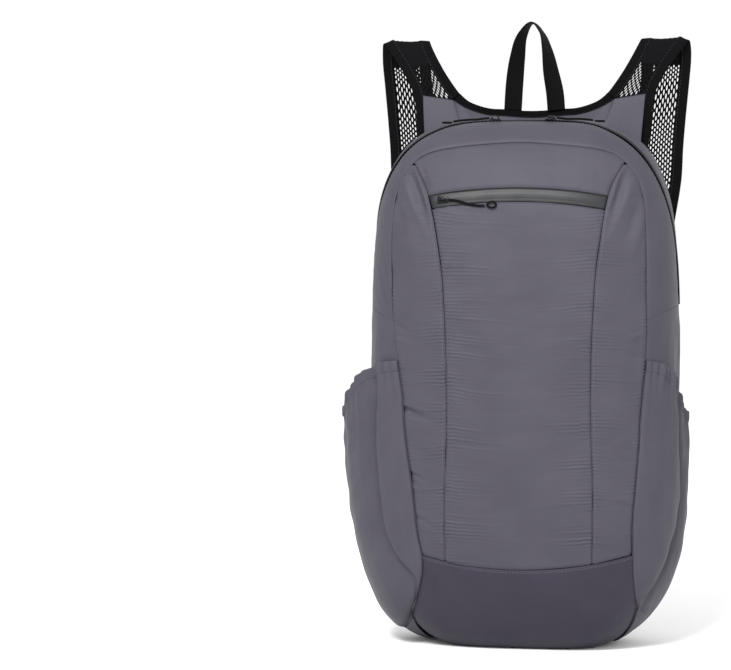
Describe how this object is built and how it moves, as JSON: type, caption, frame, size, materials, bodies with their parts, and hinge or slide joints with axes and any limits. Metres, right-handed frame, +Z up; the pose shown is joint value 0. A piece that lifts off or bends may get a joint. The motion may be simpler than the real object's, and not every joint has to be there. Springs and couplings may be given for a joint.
{
  "type": "backpack",
  "caption": "Packable daypack of thin nylon with a puckered front, a zipped front pocket, side pockets, a haul loop and net shoulder straps.",
  "frame": {"origin": "middle of the box of the bag and its straps, on the level that it stands on", "axes": "+Z up from the base to the haul loop, -Y out of the front panel, +X to the right of someone who looks at the front"},
  "size_m": [0.2984, 0.1602, 0.5189],
  "materials": {
    "grey_nylon": "thin coated nylon, soft low sheen, fine plain weave",
    "lower_nylon": "the same nylon, a smooth darker bottom panel",
    "black_binding": "matt woven binding tape with stitching",
    "black_mesh": "open knitted spacer net",
    "black_webbing": "woven webbing, matt",
    "zip_laminate": "smooth charcoal laminated tape",
    "zip_coil": "moulded nylon coil on black tape",
    "slider_metal": "black enamel, slightly worn",
    "pull_cord": "thin braided cord, matt",
    "buckle_plastic": "black moulded plastic, plain"
  },
  "bodies": {
    "root": {"upper_front_panel": "grey_nylon", "pocket_zip": "zip_laminate", "front_panel": "grey_nylon", "bottom_panel": "lower_nylon", "gusset_front": "grey_nylon", "main_zip": "zip_coil", "gusset_rear": "grey_nylon", "back_panel": "grey_nylon", "neck_binding": "black_binding", "yoke": "grey_nylon", "haul_loop": "black_webbing", "front_side_panel_left": "grey_nylon", "side_panel_left": "grey_nylon", "side_pocket_left": "grey_nylon", "pocket_hem_left": "grey_nylon", "strap_inner_binding_left": "black_binding", "strap_outer_binding_left": "black_binding", "strap_net_left": "black_mesh", "zip_slider_left": "slider_metal", "strap_adjuster_left": "buckle_plastic", "lower_webbing_left": "black_webbing", "front_side_panel_right": "grey_nylon", "side_panel_right": "grey_nylon", "side_pocket_right": "grey_nylon", "pocket_hem_right": "grey_nylon", "strap_inner_binding_right": "black_binding", "strap_outer_binding_right": "black_binding", "strap_net_right": "black_mesh", "zip_slider_right": "slider_metal", "strap_adjuster_right": "buckle_plastic", "lower_webbing_right": "black_webbing", "pocket_slider": "slider_metal", "left_pull_cord": "pull_cord", "left_pull_loop": "pull_cord", "right_pull_cord": "pull_cord", "right_pull_loop": "pull_cord", "pocket_pull_cord": "pull_cord", "pocket_pull_loop": "pull_cord"}
  },
  "joints": []
}
